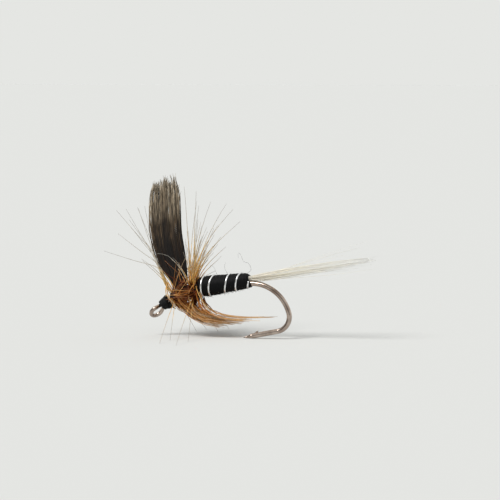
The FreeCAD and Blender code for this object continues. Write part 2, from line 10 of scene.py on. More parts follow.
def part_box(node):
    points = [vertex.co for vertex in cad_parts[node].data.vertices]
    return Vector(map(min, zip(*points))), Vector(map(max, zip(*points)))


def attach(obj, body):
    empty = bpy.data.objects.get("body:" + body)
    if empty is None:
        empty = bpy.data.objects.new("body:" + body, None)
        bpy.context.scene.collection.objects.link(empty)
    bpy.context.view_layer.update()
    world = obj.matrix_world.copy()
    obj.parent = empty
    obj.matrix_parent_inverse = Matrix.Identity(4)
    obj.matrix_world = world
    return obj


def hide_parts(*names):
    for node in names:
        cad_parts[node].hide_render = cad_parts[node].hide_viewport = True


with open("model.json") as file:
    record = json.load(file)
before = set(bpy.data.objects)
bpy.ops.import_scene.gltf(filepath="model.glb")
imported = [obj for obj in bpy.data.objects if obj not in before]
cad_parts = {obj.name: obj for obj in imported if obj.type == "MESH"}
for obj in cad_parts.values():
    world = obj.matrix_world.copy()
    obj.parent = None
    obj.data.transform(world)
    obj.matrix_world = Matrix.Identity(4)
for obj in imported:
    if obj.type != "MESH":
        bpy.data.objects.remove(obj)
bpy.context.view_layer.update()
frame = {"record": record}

# ---------------------------------------------------------------------------------------------
# Hook
# One length of bronzed steel wire, 0.45 mm thick, bent to a round gape, ground to a point and
# cut up into a barb. Its front end is drawn thinner and turned back on itself as the eye.

# Sizes are in millimetres in the hook's own frame: x runs along the shank to the bend, y to the
# far side, z away from the gape, and the origin is where the bend begins.
MM = 0.001
ALONG, FAR, UP = Vector((1, 0, 0)), Vector((0, 1, 0)), Vector((0, 0, 1))
SHANK_TILT = 11.7
WIRE_R = 0.225
SHANK_LENGTH = 6.95
UPPER_BEND_R, UPPER_BEND_SWEEP = 3.40, 85.0
LOWER_BEND_R, LOWER_BEND_SWEEP = 1.30, 95.0
SPEAR_LENGTH = 2.30
POINT_LENGTH = 0.85
TIP_R = 0.015
# The ground point in three steps: share of its length, then the radius there as a share of the wire's
POINT_GRIND = ((0.35, 0.68), (0.35, 0.36), (0.3, TIP_R / WIRE_R))
BARB_FROM_POINT, BARB_LENGTH, BARB_RISE = 0.95, 0.50, 0.12
BARB_HALF_WIDTH, BARB_EDGE_R = 0.08, 0.02
CUT_END_LENGTH, CUT_END_R = 0.12, WIRE_R * 0.8
NECK_BEND_R = 0.80
EYE_DROP = 32.0
EYE_TWIST = 27.0
NECK_TO_EYE = 1.67
EYE_RING_R, EYE_WIRE_R = 0.52, 0.18
LIMB_FROM_NECK, LIMB_R = 0.45, 0.15


def heading(turned_down):
    """Direction in the hook's plane, turned down from the shank line by an angle in degrees."""
    return Matrix.Rotation(math.radians(turned_down), 3, "Y") @ ALONG


grip = next(mount for mount in frame["record"]["mounts"] if mount["name"] == "vise_grip")
bend_end = (heading(90) - heading(90 + UPPER_BEND_SWEEP)) * UPPER_BEND_R
tilted = Matrix.Rotation(math.radians(-SHANK_TILT), 4, "Y") @ Matrix.Scale(MM, 4)
TO_FLOOR = Matrix.Translation(Vector(grip["pos_m"]) - tilted @ bend_end) @ tilted
NECK = Vector((-SHANK_LENGTH, 0, 0))
NECK_RUN = -heading(-EYE_DROP)
RING_RISE = FAR.cross(NECK_RUN)
RING_AXIS = Matrix.Rotation(math.radians(EYE_TWIST), 3, NECK_RUN) @ RING_RISE


class Wire:
    """Round wire that grows from its cut end, by straight runs and bends."""

    def __init__(self, bm, radius, at, run, segments=20):
        self.bm, self.radius, self.at, self.run = bm, radius, at.copy(), run.normalized()
        facing = UP.rotation_difference(self.run).to_matrix().to_4x4()
        circle = bmesh.ops.create_circle(bm, cap_ends=True, segments=segments, radius=radius,
                                         matrix=Matrix.Translation(at) @ facing)
        self.end = circle["verts"][0].link_faces[0]

    def _take_end(self, geom):
        self.end = next(item for item in geom if isinstance(item, bmesh.types.BMFace))

    def straight(self, length, radius=None):
        """Draws the wire out, to another radius if one is given."""
        geom = bmesh.ops.extrude_face_region(self.bm, geom=[self.end])["geom"]
        self._take_end(geom)
        self.at += self.run * length
        bmesh.ops.translate(self.bm, verts=self.end.verts, vec=self.run * length)
        if radius:
            bmesh.ops.scale(self.bm, verts=self.end.verts, vec=Vector((1, 1, 1)) * radius / self.radius,
                            space=Matrix.Translation(-self.at))
            self.radius = radius

    def bend(self, radius, sweep, side, steps):
        """Bends the wire towards a side through an angle in degrees."""
        centre, axis = self.at + side * radius, self.run.cross(side)
        geom = [self.end, *self.end.edges, *self.end.verts]
        spun = bmesh.ops.spin(self.bm, geom=geom, cent=centre, axis=axis,
                              angle=math.radians(sweep), steps=steps)
        self._take_end(spun["geom_last"])
        turn = Matrix.Rotation(math.radians(sweep), 3, axis)
        self.at, self.run = centre - turn @ side * radius, turn @ self.run


def new_material(name, roughness, **sockets):
    """A material with its shader, whose constants are set on the shader's own sockets."""
    material = bpy.data.materials.new(name)
    material.use_nodes = True
    shader = material.node_tree.nodes["Principled BSDF"]
    shader.inputs["Roughness"].default_value = roughness
    for socket, value in sockets.items():
        shader.inputs[socket.replace("_", " ")].default_value = value
    return material, shader


def add_node(shader_or_node, kind, inputs=(), **settings):
    """A node in the same tree; inputs pairs an input with a value or with an output to link."""
    tree = shader_or_node.id_data
    node = tree.nodes.new(kind)
    for name, value in settings.items():
        setattr(node, name, value)
    for key, value in dict(inputs).items():
        if isinstance(value, bpy.types.NodeSocket):
            tree.links.new(value, node.inputs[key])
        else:
            node.inputs[key].default_value = value
    return node


def join(output, socket):
    socket.id_data.links.new(output, socket)


def colour(red, green, blue):
    """An everyday 0-255 colour as the linear colour that a shader takes."""
    parts = (channel / 255 for channel in (red, green, blue))
    return (*(p / 12.92 if p <= 0.04045 else ((p + 0.055) / 1.055) ** 2.4 for p in parts), 1.0)


def colour_ramp(shader, factor, stops):
    """A colour ramp along a factor; stops are (place, colour)."""
    node = add_node(shader, "ShaderNodeValToRGB", {"Fac": factor})
    elements = node.color_ramp.elements
    while len(elements) < len(stops):
        elements.new(0.5)
    for element, (place, tint) in zip(elements, stops):
        element.position, element.color = place, tint
    return node.outputs["Color"]


def on_piece(shader, stretch=(1, 1, 1)):
    """The piece's own place in millimetres, stretched for grain that runs one way."""
    place = add_node(shader, "ShaderNodeTexCoord").outputs["Object"]
    scale = Vector(stretch) / MM
    return add_node(shader, "ShaderNodeMapping", {"Vector": place, "Scale": scale}).outputs["Vector"]


def grain(shader, vector, size, detail=3.0):
    """Noise whose features are about this many millimetres."""
    node = add_node(shader, "ShaderNodeTexNoise", {"Vector": vector, "Scale": 1 / size, "Detail": detail})
    return node.outputs["Fac"]


def bump(shader, height, depth, strength=1.0):
    """Surface relief of a depth in millimetres."""
    node = add_node(shader, "ShaderNodeBump", {"Height": height, "Distance": depth * MM,
                                               "Strength": strength})
    join(node.outputs["Normal"], shader.inputs["Normal"])


def finish_piece(bm, name, material, slot, *nodes):
    """Puts a piece down on the floor with the fly and hides the nodes it stands for."""
    bmesh.ops.recalc_face_normals(bm, faces=bm.faces)
    bmesh.ops.transform(bm, matrix=TO_FLOOR, verts=bm.verts)
    for face in bm.faces:
        face.smooth = True
    mesh = bpy.data.meshes.new(name)
    bm.to_mesh(mesh)
    bm.free()
    mesh.materials.append(material)
    piece = bpy.data.objects.new(name, mesh)
    bpy.context.scene.collection.objects.link(piece)
    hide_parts(*nodes)
    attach(piece, "root")
    return piece


# Bronzed steel, polished: drawn lines run along the wire and the tint wanders a little
hook_metal, shader = new_material("bronzed_hook_wire", 0.16, Metallic=1.0)
tarnish = grain(shader, on_piece(shader), 0.9)
join(colour_ramp(shader, tarnish, [(0.3, colour(140, 123, 112)), (0.7, colour(190, 175, 164))]),
     shader.inputs["Base Color"])
bump(shader, grain(shader, on_piece(shader, (1, 8, 1)), 0.25), 0.001, 0.5)

bm = bmesh.new()
ease = NECK_BEND_R * math.tan(math.radians(EYE_DROP / 2))
shank = Wire(bm, CUT_END_R, NECK + NECK_RUN * (LIMB_FROM_NECK + LIMB_R), -NECK_RUN)
shank.straight(CUT_END_LENGTH, WIRE_R)
shank.straight(LIMB_FROM_NECK + LIMB_R - CUT_END_LENGTH - ease)
shank.bend(NECK_BEND_R, EYE_DROP, -RING_RISE, 6)
shank.straight(SHANK_LENGTH - ease)
shank.bend(UPPER_BEND_R, UPPER_BEND_SWEEP, -UP, 40)
shank.bend(LOWER_BEND_R, LOWER_BEND_SWEEP, heading(90 + UPPER_BEND_SWEEP), 30)
shank.straight(SPEAR_LENGTH)
inward = heading(UPPER_BEND_SWEEP + LOWER_BEND_SWEEP + 90)
for share, radius in POINT_GRIND:
    shank.straight(POINT_LENGTH * share, WIRE_R * radius)
point_tip = shank.at.copy()

# The cut barb: a thin wedge that lifts off the spear and points back at the bend
barb_run = -shank.run
barb_foot = point_tip + barb_run * BARB_FROM_POINT + inward * WIRE_R * 0.5
barb_peak = barb_foot + barb_run * BARB_LENGTH + inward * (WIRE_R * 0.5 + BARB_RISE)
barb = Wire(bm, BARB_EDGE_R, barb_foot, barb_peak - barb_foot, 8)
barb.straight((barb_peak - barb_foot).length * 0.7, BARB_HALF_WIDTH)
barb.straight((barb_peak - barb_foot).length * 0.3, BARB_EDGE_R)

# The eye: out along one limb, round the ring and back along the other
eye_centre = NECK + NECK_RUN * NECK_TO_EYE
splay = math.asin(EYE_RING_R / (NECK_TO_EYE - LIMB_FROM_NECK))
limb_length = (NECK_TO_EYE - LIMB_FROM_NECK) * math.cos(splay)
limb_run = Matrix.Rotation(-splay, 3, RING_AXIS) @ NECK_RUN
eye = Wire(bm, LIMB_R, NECK + NECK_RUN * LIMB_FROM_NECK, limb_run)
eye.straight(limb_length * 0.6)
eye.straight(limb_length * 0.4, EYE_WIRE_R)
eye.bend(EYE_RING_R, 180 + 2 * math.degrees(splay), (eye_centre - eye.at).normalized(), 36)
eye.straight(limb_length * 0.4, LIMB_R)
eye.straight(limb_length * 0.6)
finish_piece(bm, "hook_wire", hook_metal, "hook_wire", "hook")

# ---------------------------------------------------------------------------------------------
# Shank thread
# Waxed black tying thread, laid in touching turns from the head to the bend before anything
# else goes on, so that the materials don't slip on the bare wire.
THREAD_R = 0.0325
THREAD_PITCH = 0.062
SHANK_THREAD = (-6.58, 0.0)

thread_black, shader = new_material("waxed_black_thread", 0.55, Specular_IOR_Level=0.2)
fray = grain(shader, on_piece(shader), 0.10, 4.0)
join(colour_ramp(shader, fray, [(0.35, colour(3, 3, 4)), (0.75, colour(15, 15, 17))]),
     shader.inputs["Base Color"])
bump(shader, grain(shader, on_piece(shader, (1, 1, 3)), 0.05), 0.01, 0.6)


def wind_thread(bm, start, run, length, radius, pitch=THREAD_PITCH, thread_r=THREAD_R, lean=None):
    """Thread wound in turns round a straight run; returns the vertices of the turns."""
    before = set(bm.verts)
    side = (run.cross(FAR) if lean is None else lean).normalized()
    thread = Wire(bm, thread_r, start + side * radius, run.cross(side), 6)
    turns, steps_per_turn = length / pitch, 18
    geom = [thread.end, *thread.end.edges, *thread.end.verts]
    bmesh.ops.spin(bm, geom=geom, cent=start, axis=run, dvec=run * pitch / steps_per_turn,
                   angle=math.tau * turns, steps=round(turns * steps_per_turn))
    return [vert for vert in bm.verts if vert not in before]


bm = bmesh.new()
wind_thread(bm, Vector((SHANK_THREAD[0], 0, 0)), ALONG, SHANK_THREAD[1] - SHANK_THREAD[0],
            WIRE_R + THREAD_R)
finish_piece(bm, "shank_thread", thread_black, "black_thread", "thread_underbody")

# ---------------------------------------------------------------------------------------------
# Tail
# A dozen stiff fibres from a cream cock hackle, each parted into a few flues, bound down along the
# shank as one bundle that swells where it leaves the bend and closes again at the tips.
TAIL_ROOT = Vector((0.62, 0, 0.45))
TAIL_BUTT_X = -3.20
TAIL_ROWS, TAIL_COLUMNS = 3, 4
TAIL_SPACING = 0.105
TAIL_FLUES = 4
TAIL_FIBRE_R, TAIL_TIP_R = 0.040, 0.012
TAIL_STEPS = 14
# The bundle's course: place along the shank, height, and half its thickness there
TAIL_COURSE = ((0.62, 0.42, 0.14), (1.4, 0.31, 0.32), (3.2, 0.26, 0.40), (5.2, 0.20, 0.42),
               (8.4, 0.12, 0.38), (11.6, 0.04, 0.18))
TAIL_WISP_LIFT = 0.17
TAIL_WISP_FROM = 3.0


def fibre_template(sides, rings):
    """A straight fibre of unit size, with rings of vertices to bend it by."""
    bm = bmesh.new()
    bmesh.ops.create_cone(bm, cap_ends=True, segments=sides, radius1=1, radius2=1, depth=1)
    lengthwise = [edge for edge in bm.edges if abs(edge.verts[0].co.z - edge.verts[1].co.z) > 0.5]
    bmesh.ops.subdivide_edges(bm, edges=lengthwise, cuts=rings - 2)
    mesh = bpy.data.meshes.new("fibre_template")
    bm.to_mesh(mesh)
    bm.free()
    return mesh


def new_fibres():
    """A mesh for fibres that remembers how far along its fibre each point is, and the fibre's tone."""
    bm = bmesh.new()
    return bm, bm.verts.layers.float.new("along"), bm.verts.layers.float.new("tone")


def lay_fibre(fibres, template, route, root_r, tip_r, tone, flatness=1.0, across=FAR, taper=1.0,
              start=0.0):
    """Bends a copy of the template along a route, tapering to its tip; colours run from start to 1."""
    bm, along, toned = fibres
    count = len(bm.verts)
    bm.from_mesh(template)
    bm.verts.ensure_lookup_table()
    last = len(route) - 1
    for vert in bm.verts[count:]:
        share = vert.co.z + 0.5
        step = round(share * last)
        run = (route[min(step + 1, last)] - route[max(step - 1, 0)]).normalized()
        side = run.cross(across).normalized()
        radius = root_r + (tip_r - root_r) * share ** taper
        vert.co = (route[step] + side * vert.co.x * radius
                   + side.cross(run) * vert.co.y * radius * flatness)
        vert[along] = start + (1 - start) * share
        vert[toned] = tone


def bezier(points, count):
    """A route from the first point to the last, pulled towards the two between."""
    return geometry.interpolate_bezier(*points, count)


def smooth_route(points, count):
    """A smooth route through points, as evenly spaced steps from the first to the last."""
    fine = []
    padded = [points[0] * 2 - points[1], *points, points[-1] * 2 - points[-2]]
    for before, a, b, after in zip(padded, padded[1:], padded[2:], padded[3:]):
        fine += geometry.interpolate_bezier(a, a + (b - before) / 6, b - (after - a) / 6, b, 9)[:-1]
    fine.append(points[-1])
    ends = [0.0]
    for a, b in zip(fine, fine[1:]):
        ends.append(ends[-1] + (b - a).length)
    route, at = [], 0
    for step in range(count):
        wanted = ends[-1] * step / (count - 1)
        while at < len(fine) - 2 and ends[at + 1] < wanted:
            at += 1
        span = ends[at + 1] - ends[at] or 1
        route.append(fine[at].lerp(fine[at + 1], min((wanted - ends[at]) / span, 1)))
    return route


def attribute(shader, name):
    return add_node(shader, "ShaderNodeAttribute", attribute_name=name).outputs["Fac"]


def mixed(shader, factor, first, second, blend="MIX"):
    """Two colours mixed or, with another blend, one laid over the other."""
    node = add_node(shader, "ShaderNodeMix", {"Factor": factor}, data_type="RGBA", blend_type=blend)
    join(first, node.inputs[6])
    join(second, node.inputs[7])
    return node.outputs[2]


def ranged(shader, value, low, high, to_low=0.0, to_high=1.0):
    """A value carried from one range to another and held at its ends."""
    node = add_node(shader, "ShaderNodeMapRange", {
        "Value": value, "From Min": low, "From Max": high, "To Min": to_low, "To Max": to_high})
    return node.outputs["Result"]


def fibre_material(name, roughness, *ramps, mottle=222, stretch=(1, 1, 1), **sockets):
    """Feather fibre: colour ramps from root to tip, between which each fibre's tone picks a place.

    Patches down to the grey level called mottle darken it unevenly.
    """
    material, shader = new_material(name, roughness, **sockets)
    along, tone = attribute(shader, "along"), attribute(shader, "tone")
    tint = colour_ramp(shader, along, ramps[0])
    last = len(ramps) - 1
    for number, stops in enumerate(ramps[1:]):
        share = ranged(shader, tone, number / last, (number + 1) / last)
        tint = mixed(shader, share, tint, colour_ramp(shader, along, stops))
    patches = grain(shader, on_piece(shader, stretch), 0.25)
    shade = colour_ramp(shader, patches, [(0.35, colour(mottle, mottle, mottle)),
                                          (0.65, colour(255, 255, 255))])
    join(mixed(shader, 1.0, tint, shade, "MULTIPLY"), shader.inputs["Base Color"])
    return material, shader


tail_cream, shader = fibre_material(
    "cream_cock_fibre", 0.5,
    [(0.0, colour(255, 250, 238)), (0.5, colour(255, 253, 244)), (1.0, colour(253, 253, 250))],
    [(0.0, colour(255, 244, 226)), (0.5, colour(255, 249, 234)), (1.0, colour(252, 250, 242))],
    mottle=244, Specular_IOR_Level=0.2, Transmission_Weight=0.3, IOR=1.15)
tail_template = fibre_template(5, TAIL_STEPS)
chance = random.Random(11)
for number in range(TAIL_ROWS * TAIL_COLUMNS):
    row, column = divmod(number, TAIL_COLUMNS)
    up = row - (TAIL_ROWS - 1) / 2
    side = (column - (TAIL_COLUMNS - 1) / 2) / ((TAIL_COLUMNS - 1) / 2)
    root = TAIL_ROOT + FAR * side * 1.5 * TAIL_SPACING + UP * up * TAIL_SPACING
    butt = Vector((TAIL_BUTT_X, root.y, root.z))
    fibres = new_fibres()
    for flue in range(TAIL_FLUES):
        high = up * 0.42 + chance.uniform(-0.55, 0.55)
        wide = side * 0.9 + chance.uniform(-0.4, 0.4)
        # The last flue of each outer fibre strays from the bundle, mostly upwards
        stray = 0.0
        if flue == TAIL_FLUES - 1 and up:
            stray = chance.uniform(0.3, 1.0) * (1.0 if up > 0 else -0.6)
        points = [butt, butt + ALONG, root - ALONG * 0.6]
        for x, z, half in TAIL_COURSE:
            beyond = max(x - TAIL_WISP_FROM, 0) * TAIL_WISP_LIFT * stray
            points.append(Vector((x, half * wide * 1.3, z + half * high + beyond)))
        tip = points[-1].lerp(points[-2], chance.uniform(-0.22, 0.6) + 0.07 * flue)
        route = smooth_route(points[:-1] + [tip], TAIL_STEPS)
        fibre_r = TAIL_FIBRE_R * (0.55 if stray else 1)
        tip_r = TAIL_TIP_R * (0.6 if stray else 1)
        lay_fibre(fibres, tail_template, route, fibre_r, tip_r, chance.random())
    name = "tail_fibre_%02d" % (number + 1)
    finish_piece(fibres[0], "cream_" + name, tail_cream, "tail_fibre", name)

# ---------------------------------------------------------------------------------------------
# Tail lashing
# The last thread turns at the bend, which bind the tail down and carry the first turn of the
# ribbing wire.
TAIL_LASHING = (0.06, 0.56)
TAIL_LASHING_R, TAIL_LASHING_LIFT = 0.56, 0.15

bm = bmesh.new()
for layer in range(3):
    start = Vector((TAIL_LASHING[0], 0, TAIL_LASHING_LIFT))
    for vert in wind_thread(bm, start, ALONG, TAIL_LASHING[1] - TAIL_LASHING[0],
                            TAIL_LASHING_R - THREAD_R * (1 + 1.6 * layer)):
        vert.co += noise.noise_vector(vert.co * 1.5) * 0.03
finish_piece(bm, "tail_lashing_thread", thread_black, "black_thread", "tail_lashing")

# ---------------------------------------------------------------------------------------------
# Wing
# Two matched slips cut from a pair of dark quill feathers and stood upright. Each slip is a row
# of flat barbs that still cling together, dark at the root, paler and ragged at the tips.
SLIP_GAP = 0.08
SLIP_THICKNESS = 0.12
SLIP_BARBS = 40
DARK_BARB_R, PALE_BARB_R, BARB_END_R = 0.058, 0.031, 0.016
WISP_R, WISP_TIP_R = 0.026, 0.008
WING_STEPS, WISP_STEPS = 20, 7
# Edges of the wing: place along the shank at each of these heights
WING_LEVELS = (0.3, 1.5, 3.3, 5.5, 7.7, 9.2, 10.2)
LEADING_EDGE = (-5.98, -6.62, -7.36, -7.55, -7.28, -6.85, -6.32)
TRAILING_EDGE = (-5.42, -5.08, -4.86, -4.78, -4.42, -4.14, -4.25)
# Height of the ragged tips from the leading edge to the trailing edge, and where they clump
TIP_HEIGHTS = (10.0, 10.05, 9.95, 9.9, 10.2, 10.35, 9.85, 9.85, 10.5, 8.9)
TIP_CLUMPS = (0.06, 0.24, 0.38, 0.52, 0.66, 0.80, 0.96)
WING_BUTT_X = -3.40
WING_BUTT_Z = 0.42


def between(values, share):
    """A value part of the way along an evenly spaced row of values."""
    place = min(max(share, 0), 1) * (len(values) - 1)
    at = min(int(place), len(values) - 2)
    return values[at] + (values[at + 1] - values[at]) * (place - at)


def edge_at(edge, level):
    """Place along the shank of one edge of the wing at a height."""
    at = min(max(sum(height <= level for height in WING_LEVELS), 1), len(edge) - 1)
    share = (level - WING_LEVELS[at - 1]) / (WING_LEVELS[at] - WING_LEVELS[at - 1])
    return edge[at - 1] + (edge[at] - edge[at - 1]) * share


wing_dark, shader = fibre_material(
    "dark_quill_barb", 0.55,
    [(0.2, colour(7, 3, 2)), (0.5, colour(12, 7, 5)), (0.7, colour(38, 28, 20)),
     (0.9, colour(146, 128, 104)), (1.0, colour(176, 162, 140))],
    [(0.2, colour(30, 15, 8)), (0.5, colour(54, 38, 26)), (0.7, colour(126, 106, 82)),
     (0.9, colour(224, 208, 182)), (1.0, colour(220, 208, 190))],
    mottle=120, stretch=(2, 2, 0.3), Specular_IOR_Level=0.3)
bump(shader, grain(shader, on_piece(shader, (6, 2, 0.6)), 0.12), 0.02, 0.5)

wing_template, tip_template = fibre_template(6, WING_STEPS), fibre_template(4, WISP_STEPS)
for name, side, forward, seed in (("near", -1, 0.16, 5), ("far", 1, -0.14, 6)):
    chance = random.Random(seed)
    fibres = new_fibres()
    for barb in range(SLIP_BARBS):
        share = barb / (SLIP_BARBS - 1)
        top = between(TIP_HEIGHTS, share) + chance.uniform(-0.2, 0.08)
        clump = min(TIP_CLUMPS, key=lambda place: abs(place - share))
        y = side * (SLIP_GAP / 2 + SLIP_THICKNESS / 2) + chance.uniform(-0.02, 0.02)
        points = [Vector((WING_BUTT_X, y * 1.6, WING_BUTT_Z)),
                  Vector((-5.2, y * 1.4, WING_BUTT_Z + 0.02))]
        for level in [level for level in WING_LEVELS if level < top - 0.5] + [top]:
            lift = (level - WING_LEVELS[0]) / (WING_LEVELS[-1] - WING_LEVELS[0])
            lead, trail = edge_at(LEADING_EDGE, level), edge_at(TRAILING_EDGE, level)
            drawn = max(lift - 0.75, 0) * 2.4
            place = share + (clump - share) * drawn + chance.uniform(-0.008, 0.008)
            spread = forward * math.sin(math.pi * min(lift * 1.1, 1)) * (1 - place)
            points.append(Vector((lead + (trail - lead) * place + spread,
                                  y + side * 0.15 * lift ** 2, level)))
        run = (points[-1] - points[-2]).normalized()
        # Pale barbs edge the wing and are scattered among the dark ones, fewest near the middle
        pale = chance.random() < 0.12 + 0.75 * abs(share - 0.40) or share < 0.1
        tone = chance.uniform(0.55, 1.0) if pale else chance.uniform(0.0, 0.3)
        barb_r = PALE_BARB_R if pale else DARK_BARB_R
        route = smooth_route(points, WING_STEPS)
        if pale:
            route = [point + FAR * side * 0.02 for point in route]
        lay_fibre(fibres, wing_template, route, barb_r, BARB_END_R, tone, flatness=0.8, taper=7.0)
        for wisp in range(2):
            foot = points[-1] - run * chance.uniform(0.5, 1.1) + FAR * chance.uniform(-0.05, 0.05)
            lean = ALONG * chance.uniform(-0.10, 0.14) + FAR * chance.uniform(-0.1, 0.1)
            reach = chance.uniform(0.55, 0.95)
            shares = [step / (WISP_STEPS - 1) for step in range(WISP_STEPS)]
            route = [foot + run * reach * share + lean * share ** 2 for share in shares]
            lay_fibre(fibres, tip_template, route, WISP_R, WISP_TIP_R, chance.uniform(0.0, 0.8),
                      start=0.85)
    finish_piece(fibres[0], name + "_wing_barbs", wing_dark, "wing_quill", name + "_wing_slip")

# ---------------------------------------------------------------------------------------------
# Body
# Black floss wound over the bound butts as a smooth cone, thickest behind the wing. The flat
# strands lie at a slant, and the ribbing wire bites into them.
BODY_FRONT = Vector((-4.15, 0, 0.47))
BODY_REAR = Vector((0.48, 0, 0.24))
BODY_PROFILE = ((0.0, 0.54), (0.08, 0.72), (0.3, 0.83), (0.8, 0.87), (1.4, 0.85), (2.6, 0.77),
                (3.6, 0.71), (4.3, 0.66), (4.55, 0.60), (4.63, 0.50))
STRAND_PITCH = 0.34
BODY_RINGS, BODY_SEGMENTS = 170, 64
RIB_R = 0.062
SHOWN_RIB_R = RIB_R * 1.3  # the wire is drawn broader than it is, to show on the dark floss
# Where the ribbing wire crosses the near side, from the back of the wing to the bend
RIB_CROSSINGS = (-0.10, 0.45, 1.17, 2.70, 3.62, 4.74)
RIB_START = 0.4  # the wire's front end is tied down on the far side, part of a turn in

# Loose floss: short ends under the body, and the courses of three curled filaments above it
FUZZ_ENDS = 46
FUZZ_R, FUZZ_TIP_R = 0.013, 0.006
FILAMENT_R, FILAMENT_TIP_R = 0.010, 0.005
FILAMENT_STEPS = 20
LOOSE_FILAMENTS = (
    ((-2.2, -0.2, 1.1), (-2.35, -0.3, 1.9), (-2.6, -0.3, 2.15), (-2.75, -0.2, 1.9)),
    ((-1.25, -0.2, 1.05), (-1.4, -0.3, 1.7), (-1.2, -0.35, 2.2)),
    ((0.3, -0.2, 0.8), (0.9, -0.3, 1.1), (0.75, -0.2, 1.7), (0.35, -0.1, 1.9), (0.15, 0, 2.5),
     (-0.05, 0.1, 2.75), (-0.15, 0.1, 2.3)))

BODY_RUN = (BODY_REAR - BODY_FRONT).normalized()
BODY_UP = BODY_RUN.cross(FAR)
BODY_LENGTH = (BODY_REAR - BODY_FRONT).length


def body_radius(distance):
    """Radius of the floss at a distance from the body's front."""
    for (a, r_a), (b, r_b) in zip(BODY_PROFILE, BODY_PROFILE[1:]):
        if distance <= b:
            share = (distance - a) / (b - a)
            return r_a + (r_b - r_a) * share
    return BODY_PROFILE[-1][1]


def rib_place(turns):
    """Distance from the body's front of the ribbing wire after some turns from its front end."""
    slant = 0.1 * math.sin(math.tau * turns) * turns / (len(RIB_CROSSINGS) - 1)
    return between(RIB_CROSSINGS, turns / (len(RIB_CROSSINGS) - 1)) + slant


floss_black, shader = new_material("black_floss", 0.6, Specular_IOR_Level=0.12)
strands = grain(shader, on_piece(shader, (9, 1, 1)), 0.35, 4.0)
join(colour_ramp(shader, strands, [(0.35, colour(2, 2, 3)), (0.8, colour(13, 13, 15))]),
     shader.inputs["Base Color"])
bump(shader, strands, 0.02, 0.7)

bm = bmesh.new()
bmesh.ops.create_cone(bm, cap_ends=True, segments=BODY_SEGMENTS, radius1=1, radius2=1,
                      depth=BODY_LENGTH, matrix=Matrix.Translation((0, 0, BODY_LENGTH / 2)))
lengthwise = [edge for edge in bm.edges if abs(edge.verts[0].co.z - edge.verts[1].co.z) > 1]
bmesh.ops.subdivide_edges(bm, edges=lengthwise, cuts=BODY_RINGS - 2)
for vert in bm.verts:
    distance = vert.co.z
    turn = math.atan2(vert.co.y, vert.co.x) / math.tau % 1
    strand = (distance / STRAND_PITCH - turn) % 1
    radius = body_radius(distance) + 0.025 * math.sin(math.pi * strand) ** 0.6
    radius += 0.03 * noise.noise(Vector((vert.co.x, vert.co.y, distance)) * 1.6)
    radius += 0.012 * noise.noise(Vector((vert.co.x * 3, vert.co.y * 3, distance * 14)))
    for crossing in range(len(RIB_CROSSINGS) - 1):
        gap = distance - rib_place(crossing + turn)
        radius -= 0.05 * math.exp(-(gap / 0.09) ** 2)
    around = Vector((vert.co.x, vert.co.y)).normalized()
    vert.co = (BODY_FRONT + BODY_RUN * distance - FAR * around.x * radius
               + BODY_UP * around.y * radius)

curl_template = fibre_template(4, FILAMENT_STEPS)
floss = bm, bm.verts.layers.float.new("along"), bm.verts.layers.float.new("tone")
chance = random.Random(61)
for end in range(FUZZ_ENDS):
    distance, angle = chance.uniform(0.4, 4.5), chance.gauss(-90, 28)
    out = BODY_UP * math.sin(math.radians(angle)) - FAR * math.cos(math.radians(angle))
    root = BODY_FRONT + BODY_RUN * distance + out * (body_radius(distance) - 0.05)
    tip = root + (out + BODY_RUN * chance.uniform(0.2, 1.2)) * chance.uniform(0.10, 0.26)
    route = bezier((root, root + out * 0.1, tip - BODY_RUN * 0.05, tip), WISP_STEPS)
    lay_fibre(floss, tip_template, route, FUZZ_R, FUZZ_TIP_R, 0.0)
for points in LOOSE_FILAMENTS:
    route = smooth_route([Vector(point) for point in points], FILAMENT_STEPS)
    lay_fibre(floss, curl_template, route, FILAMENT_R, FILAMENT_TIP_R, 0.0)
finish_piece(bm, "floss_cone", floss_black, "black_floss", "floss_body")

# ---------------------------------------------------------------------------------------------
# Ribbing wire
# Fine silver wire, wound forwards over the floss in open, uneven turns and pulled down until it
# lies in a groove of its own.
silver, shader = new_material("silver_wire", 0.28, Metallic=1.0)
join(colour_ramp(shader, grain(shader, on_piece(shader), 0.3),
                 [(0.3, colour(214, 214, 216)), (0.7, colour(246, 246, 246))]),
     shader.inputs["Base Color"])
bump(shader, grain(shader, on_piece(shader), 0.08), 0.006, 0.5)

STEPS_PER_TURN = 24
rib_turns = len(RIB_CROSSINGS) - 1
rib_steps = round((rib_turns - RIB_START) * STEPS_PER_TURN)
route = []
for step in range(rib_steps + 1):
    turns = RIB_START + step / STEPS_PER_TURN
    distance = rib_place(turns)
    angle = math.tau * turns
    on_lashing = max(distance - BODY_LENGTH, 0)
    radius = body_radius(distance) + RIB_R * 0.45
    radius += (TAIL_LASHING_R + RIB_R - radius) * min(on_lashing / 0.2, 1)
    route.append(BODY_FRONT + BODY_RUN * distance
                 + (BODY_UP * math.sin(angle) - FAR * math.cos(angle)) * radius)
fibres = new_fibres()
lay_fibre(fibres, fibre_template(8, rib_steps + 1), route, SHOWN_RIB_R, SHOWN_RIB_R, 0.0)
finish_piece(fibres[0], "silver_rib", silver, "silver_wire", "rib_wire")

# ---------------------------------------------------------------------------------------------
# Wing lashing and brace wraps
# Thread turns that bind the slips' butts on the shank behind the wing, and the turns jammed in
# front of it that stand it upright.
WING_LASHING = (-5.30, -4.20)
WING_LASHING_R, WING_LASHING_LIFT = 0.584, 0.148
BRACE = (-6.15, -6.02)
BRACE_R = 0.42

